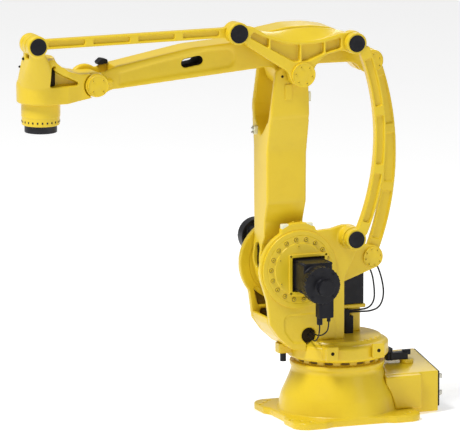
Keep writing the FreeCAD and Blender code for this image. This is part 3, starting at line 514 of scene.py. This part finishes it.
# ---------------------------------------------------------------- the cables
def lead(name, diameter, points):
    """A cable on a smooth curve through given points in millimetres."""
    curve = bpy.data.curves.new(f"{name}_sheath", "CURVE")
    curve.dimensions = "3D"
    curve.bevel_depth = diameter / 2
    curve.bevel_resolution = 5
    curve.resolution_u = 16
    curve.use_fill_caps = True
    spline = curve.splines.new("NURBS")
    spline.points.add(len(points) - 1)
    for point, place_at in zip(spline.points, points):
        point.co = (place_at[0] / 1000, place_at[1] / 1000, place_at[2] / 1000, 1)
    spline.order_u = 3
    spline.use_endpoint_u = True
    piece = bpy.data.objects.new(f"{name}_sheath", curve)
    bpy.context.scene.collection.objects.link(piece)
    place(piece, "swivel", "cable", name)


def add_leads():
    """The near motor's two leads, and the two that hang behind the shoulder."""
    lead("thick_lead", 0.009, [
        (272, 378, 655), (272, 378, 600), (270, 325, 548), (262, 265, 530), (256, 200, 537), (252, 140, 546),
    ])
    lead("thin_lead", 0.009, [
        (212, 378, 672), (212, 378, 618), (226, 322, 578), (234, 262, 562), (236, 200, 563), (234, 140, 566),
    ])
    lead("inner_lead", 0.011, [
        (68, 12, 1012), (-45, 12, 1012), (-165, 12, 985), (-228, 12, 890), (-246, 12, 775),
        (-244, 12, 700), (-205, 12, 657), (-135, 12, 653), (-75, 12, 653),
    ])
    lead("outer_lead", 0.011, [
        (68, -6, 1036), (-52, -6, 1036), (-180, -6, 1018), (-265, -6, 940), (-305, -6, 830),
        (-318, -6, 730), (-290, -6, 655), (-225, -6, 634), (-145, -6, 638), (-75, -6, 638),
    ])


# ---------------------------------------------------------------- castings
# voxel, rounds of smoothing, share of the faces kept
CASTINGS = {
    "base_casting": (0.0065, 5, 0.35),
    "connector_box": (0.0055, 4, 0.35),
    "base_ring": (0.0035, 2, 0.5),
    "near_frame": (0.0050, 6, 0.45),
    "far_frame": (0.0055, 6, 0.40),
    "frame_web": (0.0060, 4, 0.40),
    "lower_arm": (0.0060, 6, 0.35),
    "upper_arm": (0.0060, 6, 0.35),
    "elbow_plate": (0.0042, 5, 0.45),
    "wrist_housing": (0.0042, 12, 0.45),
    "level_link": (0.0036, 5, 0.45),
    "drive_link": (0.0036, 5, 0.45),
    "level_rod": (0.0036, 4, 0.40),
    "crank": (0.0042, 4, 0.40),
    "skirt_pads": (0.0036, 2, 0.5),
    "motor_stand": (0.0045, 3, 0.4),
    "turntable": (0.0055, 3, 0.4),
    "stop_pin_holder": (0.0030, 2, 0.4),
    "bracket_boss": (0.0030, 2, 0.4),
    "lead_clamp": (0.0025, 2, 0.4),
}


def wrist_webs(bm):
    """The curved web from the wrist's neck down to its arm, and the floor of its triangular window."""
    web = [(0.338, 0.184), (0.287, 0.184), (0.266, 0.155), (0.233, 0.130), (0.201, 0.111),
           (0.215, 0.100), (0.285, 0.140), (0.338, 0.146)]
    step = [(0.345, 0.184), (0.299, 0.184), (0.292, 0.160), (0.300, 0.142), (0.345, 0.146)]
    floor = [(0.272, 0.008), (0.272, 0.126), (0.116, 0.046), (0.106, 0.008)]
    for outline, low, high in ((web, 0.092, 0.149), (step, 0.110, 0.171), (floor, 0.030, 0.086)):
        plate_into(bm, from_pivot(outline), "Y", low, high)


def add_castings():
    """The painted castings, then three small black parts made the same way."""
    for node, (voxel, rounds, keep) in CASTINGS.items():
        casting(node, voxel, rounds, keep, webs=wrist_webs if node == "wrist_housing" else None)
    for node, voxel in (("stop_bracket", 0.0030), ("near_motor_plug", 0.0030), ("beam_fitting", 0.0025)):
        casting(node, voxel, 2, 0.4, SLOT_OF[node])


# ---------------------------------------------------------------- round parts
def end_cap(node, dished):
    """A round cover on a pivot, facing the near side: black ones are dished, painted ones stepped."""
    low, high, centre = box_of(node)
    radius = (high.x - low.x) / 2
    back, front = low.y - centre.y, high.y - centre.y
    if dished:
        look = "black_plastic"
        rim, slope, boss, flat = 0.90, 0.84, 0.30, 0.26
        floor, top = front - 0.003, front - 0.0018
    else:
        look = "paint"
        rim, slope, boss, flat = 0.93, 0.90, 0.40, 0.36
        floor, top = front - 0.0022, front - 0.001
    profile = [(0, back), (radius, back), (radius, front), (radius * rim, front), (radius * slope, floor),
               (radius * boss, floor), (radius * flat, top), (0, top)]
    place(turned(f"{node}_cover", centre, "Y", profile, 80, 0.0015), BODY_OF[node], look, node)


def add_caps():
    """The covers on the pivots, and the screws on the painted ones."""
    for node in ("level_low_cap", "level_high_cap", "rod_rear_cap", "rod_front_cap"):
        end_cap(node, True)
    # how far out the screws stand as a share of the radius, how many, and the first one's angle
    for node, share, count, start in (("elbow_cap", 0.72, 6, 20), ("wrist_pivot_cap", 0.70, 4, 45),
                                      ("crank_pin_cap", 0.78, 8, 12), ("tail_cap", 0.76, 6, 0)):
        end_cap(node, False)
        low, high, centre = box_of(node)
        spots = circle(at(centre, y=high.y - 0.0024), "Y", (high.x - low.x) / 2 * share, count, start)
        socket_screws(f"{node}_screws", BODY_OF[node], spots, (0, 1, 0), 0.0065, 0.0040)


def add_drive_discs():
    """The two gearboxes at the shoulder: a rim, a groove, a ring of screws and a raised middle."""
    raised = 0.0045
    for node, side in (("near_drive_disc", 1), ("far_drive_disc", -1)):
        low, high, centre = box_of(node)
        back, face = (low.y, high.y) if side > 0 else (high.y, low.y)
        body = BODY_OF[node]
        radius = (high.x - low.x) / 2
        steps = [(0, back), (radius, back), (radius, face - side * 0.003), (radius - 0.003, face),
                 (0.2145, face), (0.2125, face - side * 0.0025), (0.2105, face), (0.168, face),
                 (0.164, face + side * raised), (0.120, face + side * raised), (0, face + side * raised)]
        profile = [(r, y - centre.y) for r, y in steps]
        place(turned(f"{node}_gearbox", centre, "Y", profile, 128, 0.0012), body, "paint", node)
        middle = at(centre, y=face)
        outer = circle(middle, "Y", 0.190, 18, 8)
        inner = circle(at(middle, y=face + side * raised), "Y", 0.148, 6, 4)
        seat = [(0, 0.0002), (0.0155, 0.0002), (0.0145, 0.0018), (0.0110, 0.0018), (0.0104, 0.0006),
                (0, 0.0006)]
        groove = [(0.0112, 0), (0.0142, 0), (0.0142, 0.0022), (0.0112, 0.0022), (0.0112, 0)]
        for label, outline, look in (("spotfaces", seat, "paint"), ("grooves", groove, "shade")):
            bm = bmesh.new()
            for spot in outer:
                turn_into(bm, spot, "Y", [(r, side * along) for r, along in outline], 20)
            place(piece_from(f"{node}_{label}", bm), body, look)
        socket_screws(f"{node}_screws", body, outer, (0, side, 0), 0.0095, 0.0075)
        socket_screws(f"{node}_small_screws", body, inner, (0, side, 0), 0.0070, 0.004)


def add_wrist_turns():
    """The neck with its step and small screws, the housing's plugs, and painted shade in the slot beside its
    window.
    """
    low, high, centre = box_of("wrist_neck")
    radius = (high.x - low.x) / 2
    steps = [(0, low.z), (0.113, low.z), (0.117, low.z + 0.004), (0.117, low.z + 0.048),
             (0.119, low.z + 0.052), (0.130, low.z + 0.056), (0.130, high.z - 0.030),
             (0.1265, high.z - 0.027), (0.1265, high.z), (0, high.z)]
    profile = [(min(r, radius), z - centre.z) for r, z in steps]
    place(turned("wrist_neck_shell", centre, "Z", profile, 112, 0.0015), "wrist", "paint", "wrist_neck")
    heads = bmesh.new()
    for turn in range(0, 360, 15):
        way = math.radians(turn)
        spot = at(centre, z=low.z + 0.024) + Vector((math.cos(way), math.sin(way), 0)) * 0.1135
        pin_into(heads, spot, "Z", 0.0062, -0.0055, 0.0055, 10)
    place(piece_from("wrist_neck_screws", heads), "wrist", "black_metal")
    plugs = bmesh.new()
    for y, z, radius in ((0.085, 2.386, 0.009), (0.010, 2.325, 0.008)):
        spot = on_surface("wrist_housing", (2.4, y, z), (-1, 0, 0))
        turn_into(plugs, spot, "X", [(0, -0.016), (radius, -0.016), (radius, 0.005), (radius * 0.6, 0.007),
                                     (radius * 0.6, 0.011), (0, 0.011)], 16)
    place(soften(piece_from("wrist_plugs", plugs), 0.001, 2), "wrist", "black_plastic")
    # painted shade: a dark block in the deep slot beside the window
    slot = from_pivot([(0.2740, 0.016), (0.3145, 0.016), (0.3145, 0.132), (0.2740, 0.122)])
    shade_sheet = plate_into(bmesh.new(), slot, "Y", 0.051, 0.120)
    place(piece_from("wrist_window_lining", shade_sheet), "wrist", "cavity")


def add_motors():
    """The three motors, and the near one's ribbed cover, corner bars, seat and frame."""
    for node in ("near_motor", "far_motor", "column_motor"):
        casting(node, 0.0036, 3, 0.5, "black_metal")
    cover = Vector((0.269, 0, 0.908))
    rib_count, rib_circle, rib_radius, rib_half = 28, 0.1142, 0.0042, 0.026
    ribs = bmesh.new()
    for i in range(rib_count):
        way = 2 * math.pi * i / rib_count
        spot = cover + Vector((math.sin(way), 0, math.cos(way))) * rib_circle
        pin_into(ribs, at(spot, y=0.394), "Y", rib_radius, -rib_half, rib_half, 8)
    place(piece_from("near_motor_ribs", ribs), "swivel", "black_metal")
    spots = circle(at(cover, y=0.4245), "Y", 0.098, 4, 45)
    screws("near_motor_screws", "swivel", spots, (0, 1, 0), 0.0062, 0.005, "black_metal")
    middle = Vector((SHOULDER.x - 0.054, 0, SHOULDER.z - 0.030))
    corner, bar_radius, bar_length = 0.0865, 0.0105, 0.160
    bars = bmesh.new()
    for dx in (-corner, corner):
        for dz in (-corner, corner):
            pin_into(bars, middle + Vector((dx, 0.181, dz)), "Y", bar_radius, 0, bar_length, 20)
    place(piece_from("near_motor_corner_bars", bars), "swivel", "black_metal")
    # painted shade: a dark seat in the recess round the motor
    seat = plate_into(bmesh.new(), rectangle(middle.x, middle.z, 0.110, 0.110, 0.022), "Y", 0.180, 0.1845)
    place(soften(piece_from("near_motor_seat", seat), 0.0012, 2), "swivel", "cavity")
    away, long, thin = 0.117, 0.126, 0.010
    rails = bmesh.new()
    for dx, dz, wide, tall in ((0, away, long, thin), (0, -away, long, thin),
                               (away, 0, thin, long), (-away, 0, thin, long)):
        outline = rectangle(middle.x + dx, middle.z + dz, wide, tall, 0.008, 3)
        plate_into(rails, outline, "Y", 0.178, 0.1915)
    place(soften(piece_from("near_motor_frame", rails), 0.003, 2), "swivel", "paint")


def add_base_details():
    """The connector panel's screws and latches, and the turntable's blocks and screws."""
    panel = box_of("panel_plugs")[1].x
    corners = ((-0.195, 0.055), (-0.195, 0.315), (0.165, 0.055), (0.165, 0.238))
    spots = [Vector((panel + 0.0005, y, z)) for y, z in corners]
    screws("panel_screws", "base", spots, (-1, 0, 0), 0.0065, 0.005)
    latches = bmesh.new()
    for z, lean in ((0.104, 0.010), (0.226, -0.010)):
        root, tip = panel + 0.002, panel - 0.037
        lever = [(root, 0, z - 0.018), (root, 0, z + 0.018),
                 (tip, 0, z + (0.016 + lean)), (tip, 0, z + (lean - 0.012))]
        plate_into(latches, lever, "Y", 0.122, 0.140)
    place(soften(piece_from("panel_latches", latches), 0.003, 2), "base", "zinc")
    blocks = bmesh.new()
    for turn in (98, 110, 122, 134):
        way = math.radians(turn)
        spot = Vector((0.262 * math.cos(way), 0.262 * math.sin(way), 0.5))
        pin_into(blocks, spot, "Z", 0.015, -0.012, 0.014, 4)
    place(soften(piece_from("turntable_blocks", blocks), 0.003, 2), "swivel", "paint")
    spots = circle(Vector((0, 0, 0.4985)), "Z", 0.236, 16, 146, 150)
    screws("turntable_screws", "swivel", spots, (0, 0, 1), 0.008, 0.008)


def add_lug_and_bushes():
    """The two screws on the near frame's lug, between two pale bushes."""
    lug = [Vector((SHOULDER.x + x, 0.145, SHOULDER.z + 0.2905)) for x in (-0.022, 0.032)]
    socket_screws("frame_lug_screws", "swivel", lug, (0, 0, 1), 0.008, 0.007)
    for i, (x, z) in enumerate(((-0.070, 0.268), (0.089, 0.266))):
        x, z = SHOULDER.x + x, SHOULDER.z + z
        bush = block(f"frame_bush_{i}", (x - 0.024, 0.128, z - 0.022), (x + 0.024, 0.162, z + 0.020), 0.006)
        place(bush, "swivel", "bush")


# the far frame's two openings, in millimetres from the shoulder
OPENINGS = {
    "upper": [(192, -122), (155, -268), (-120, -268), (-120, -197), (-78, -216), (0, -230), (80, -216),
              (149, -176)],
    "lower": [(150, -292), (128, -348), (68, -394), (-120, -394), (-120, -292)],
}


def add_frame_openings():
    """The panels of painted shade behind the far frame's openings, and painted shade in the leads' grommet
    and in the skirt pads' holes.
    """
    grown = 1.04
    for name, corners in OPENINGS.items():
        middle = Vector((sum(x for x, _ in corners), 0, sum(z for _, z in corners))) / len(corners)
        panel = [(Vector((x, 0, z)) - middle) * grown + middle for x, z in corners]
        panel = [SHOULDER + corner / 1000 for corner in panel]
        piece = piece_from(f"far_frame_{name}_panel", plate_into(bmesh.new(), panel, "Y", -0.160, -0.152))
        place(piece, "swivel", "shade")
    # painted shade: a dark disc where the leads pass through
    profile = [(0, -0.006), (0.0475, -0.006), (0.0475, 0.008), (0.036, 0.008), (0.034, 0.0065), (0, 0.0065)]
    grommet = turned("lead_grommet", Vector((0.252, 0.1325, 0.546)), "Y", profile, 48)
    place(grommet, "swivel", "cavity")
    # painted shade: dark discs in the skirt pads' holes
    pads = bmesh.new()
    for x in (-0.145, 0.163):
        pin_into(pads, Vector((x, 0.3268, 0.453)), "Y", 0.0115, -0.002, 0.0009, 24)
    place(piece_from("skirt_pad_holes", pads), "swivel", "cavity")


def add_arm_details():
    """The painted shade inside the lower arm's hub opening, its air fitting, and the pad and tab on its fork,
    with painted shade in the fork's hole.
    """
    # painted shade: a dark sheet inside the hub's opening
    hollow = [(0, y, z) for y, z in ((-0.0865, 0.960), (-0.060, 0.947), (-0.034, 0.947), (-0.0075, 0.960),
                                     (-0.0075, 1.098), (-0.034, 1.113), (-0.060, 1.113), (-0.0865, 1.098))]
    place(piece_from("hub_lining", plate_into(bmesh.new(), hollow, "X", 0.492, 0.500)), "lower_arm", "cavity")
    spot = on_surface("lower_arm", (0.9, -0.072, 1.818), (-1, 0, 0))
    low, high = spot + Vector((-0.004, -0.022, -0.026)), spot + Vector((0.022, 0.022, 0.026))
    place(block("air_fitting", low, high, 0.005), "lower_arm", "bush")
    nipple = [(0, -0.002), (0.009, -0.002), (0.009, 0.006), (0.0055, 0.008), (0.0055, 0.014), (0, 0.014)]
    nipples = bmesh.new()
    for z in (-0.014, 0.014):
        turn_into(nipples, spot + Vector((0.022, 0.004, z)), "X", nipple, 16)
    place(soften(piece_from("air_nipples", nipples), 0.0008, 2), "lower_arm", "steel")
    face = on_surface("lower_arm", (ELBOW.x + 0.075, 0.4, 2.085), (0, -1, 0))
    low, high = face + Vector((-0.026, -0.003, -0.048)), face + Vector((0.020, 0.007, 0.048))
    place(block("fork_pad", low, high, 0.003), "lower_arm", "paint")
    rear = on_surface("lower_arm", (-0.4, 0.145, 2.045), (1, 0, 0))
    low, high = rear + Vector((-0.016, -0.012, -0.030)), rear + Vector((0.004, 0.012, 0.030))
    place(block("fork_tab", low, high, 0.003), "lower_arm", "bush")
    # painted shade: a dark dish in the fork's hole
    dot = on_surface("lower_arm", (ELBOW.x + 0.112, 0.4, ELBOW.z - 0.014), (0, -1, 0))
    dish = [(0, -0.002), (0.009, -0.002), (0.009, 0.0008), (0.006, 0.0004), (0, 0)]
    place(turned("fork_hole", dot, "Y", dish, 24), "lower_arm", "cavity")


def add_inner_faces():
    """Painted shade: dark sheets inside the base ring's openings and on the inner walls of the upper arm's
    window.
    """
    inner, outer, low, high = 0.246, 0.2578, 0.359, 0.376
    band = [(inner, low), (outer, low), (outer, high), (inner, high), (inner, low)]
    place(piece_from("base_ring_lining", turn_into(bmesh.new(), Vector(), "Z", band, 96)), "base", "shade")
    # painted shade on the window's inner walls
    front, rear = [Vector((ELBOW.x + dx, 0, ELBOW.z + dz)) for dx, dz in ((0.723, 0.096), (0.636, 0.109))]
    along = (front - rear).normalized()
    across = Vector((-along.z, 0, along.x))
    rims = []
    for radius in (0.0274, 0.0256):
        rim = []
        for centre, start in ((front, -90), (rear, 90)):
            for turn in range(start, start + 181, 15):
                way = math.radians(turn)
                rim.append(centre + (along * math.cos(way) + across * math.sin(way)) * radius)
        rims.append(rim)
    shade_sheet = sleeve_into(bmesh.new(), *rims, half=0.089)
    place(piece_from("upper_arm_window_lining", shade_sheet), "upper_arm", "cavity")


def finish_cad_nodes():
    """The plain parts that keep their own shape get their looks."""
    for node, piece in frame["nodes"].items():
        piece.data.materials.clear()
        piece.data.materials.append(LOOKS[SLOT_OF[node]])


# ---------------------------------------------------------------- the studio
def add_floor():
    """A wide pale floor just under the base."""
    half_side, drop = 40, 0.0015
    floor = bmesh.new()
    bmesh.ops.create_grid(floor, x_segments=1, y_segments=1, size=half_side)
    bmesh.ops.translate(floor, verts=floor.verts, vec=(0, 0, -drop))
    stage = piece_from("floor", floor)
    look = Look("pale_floor", Roughness=0.85, Emission_Strength=0.42, Emission_Color=(1, 1, 1, 1))
    tone = look.mix(look.noise(0.6, 2.0), (0.86, 0.86, 0.86, 1), (0.88, 0.88, 0.88, 1))
    stage.data.materials.append(look.feed(Base_Color=tone))


def add_lights():
    """A white room, one soft lamp high in front and two weak ones towards the rear."""
    world = bpy.data.worlds.new("studio")
    world.use_nodes = True
    room = world.node_tree.nodes["Background"].inputs
    room["Color"].default_value = (1, 1, 1, 1)
    room["Strength"].default_value = 0.40
    bpy.context.scene.world = world
    bpy.context.scene.view_settings.view_transform = "Standard"
    # where each lamp stands, what it faces, its width in metres and its watts
    for name, spot, target, size, power in (
            ("key", (7.8, 3.2, 15.2), (0.6, 0, 1.0), 4.5, 2050),
            ("fill", (-3.5, 6.0, 3.0), (0.2, 0, 1.0), 3.0, 30),
            ("back", (-3.0, -5.0, 5.0), (0.4, 0, 1.4), 3.0, 60)):
        light = bpy.data.lights.new(name, "AREA")
        light.shape = "DISK"
        light.size = size
        light.energy = power
        lamp = bpy.data.objects.new(name, light)
        lamp.location = spot
        lamp.rotation_euler = (Vector(spot) - Vector(target)).to_track_quat("Z", "Y").to_euler()
        bpy.context.scene.collection.objects.link(lamp)


add_camera()
add_leads()
finish_cad_nodes()
add_castings()
add_caps()
add_drive_discs()
add_wrist_turns()
add_motors()
add_base_details()
add_lug_and_bushes()
add_frame_openings()
add_arm_details()
add_inner_faces()
add_floor()
add_lights()
